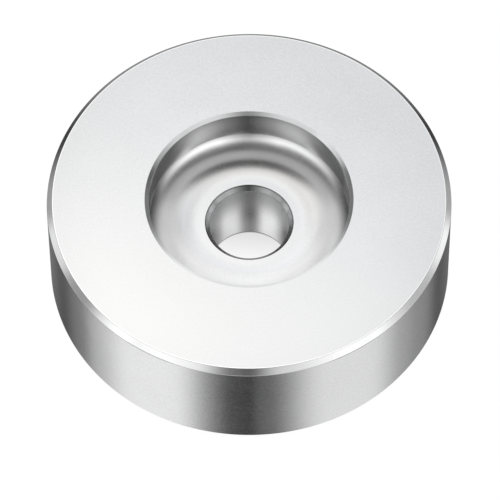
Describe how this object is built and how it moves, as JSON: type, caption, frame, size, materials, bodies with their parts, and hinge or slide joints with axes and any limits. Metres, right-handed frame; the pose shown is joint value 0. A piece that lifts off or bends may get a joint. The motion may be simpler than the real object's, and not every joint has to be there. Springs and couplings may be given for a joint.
{
  "type": "record spindle adapter",
  "caption": "Turned aluminium puck that centres a large-hole record on a thin turntable spindle, with a wide dished recess in its top and a bevelled through bore.",
  "frame": {"origin": "middle of the base, on the turning axis", "axes": "+Z along the turning axis, from the base to the recessed top face; X and Y are free because the part is round"},
  "size_m": [0.0381, 0.038, 0.012],
  "materials": {
    "satin_aluminium": "fine satin, bare silver anodised"
  },
  "bodies": {
    "root": {"adapter_body": "satin_aluminium"}
  },
  "joints": []
}
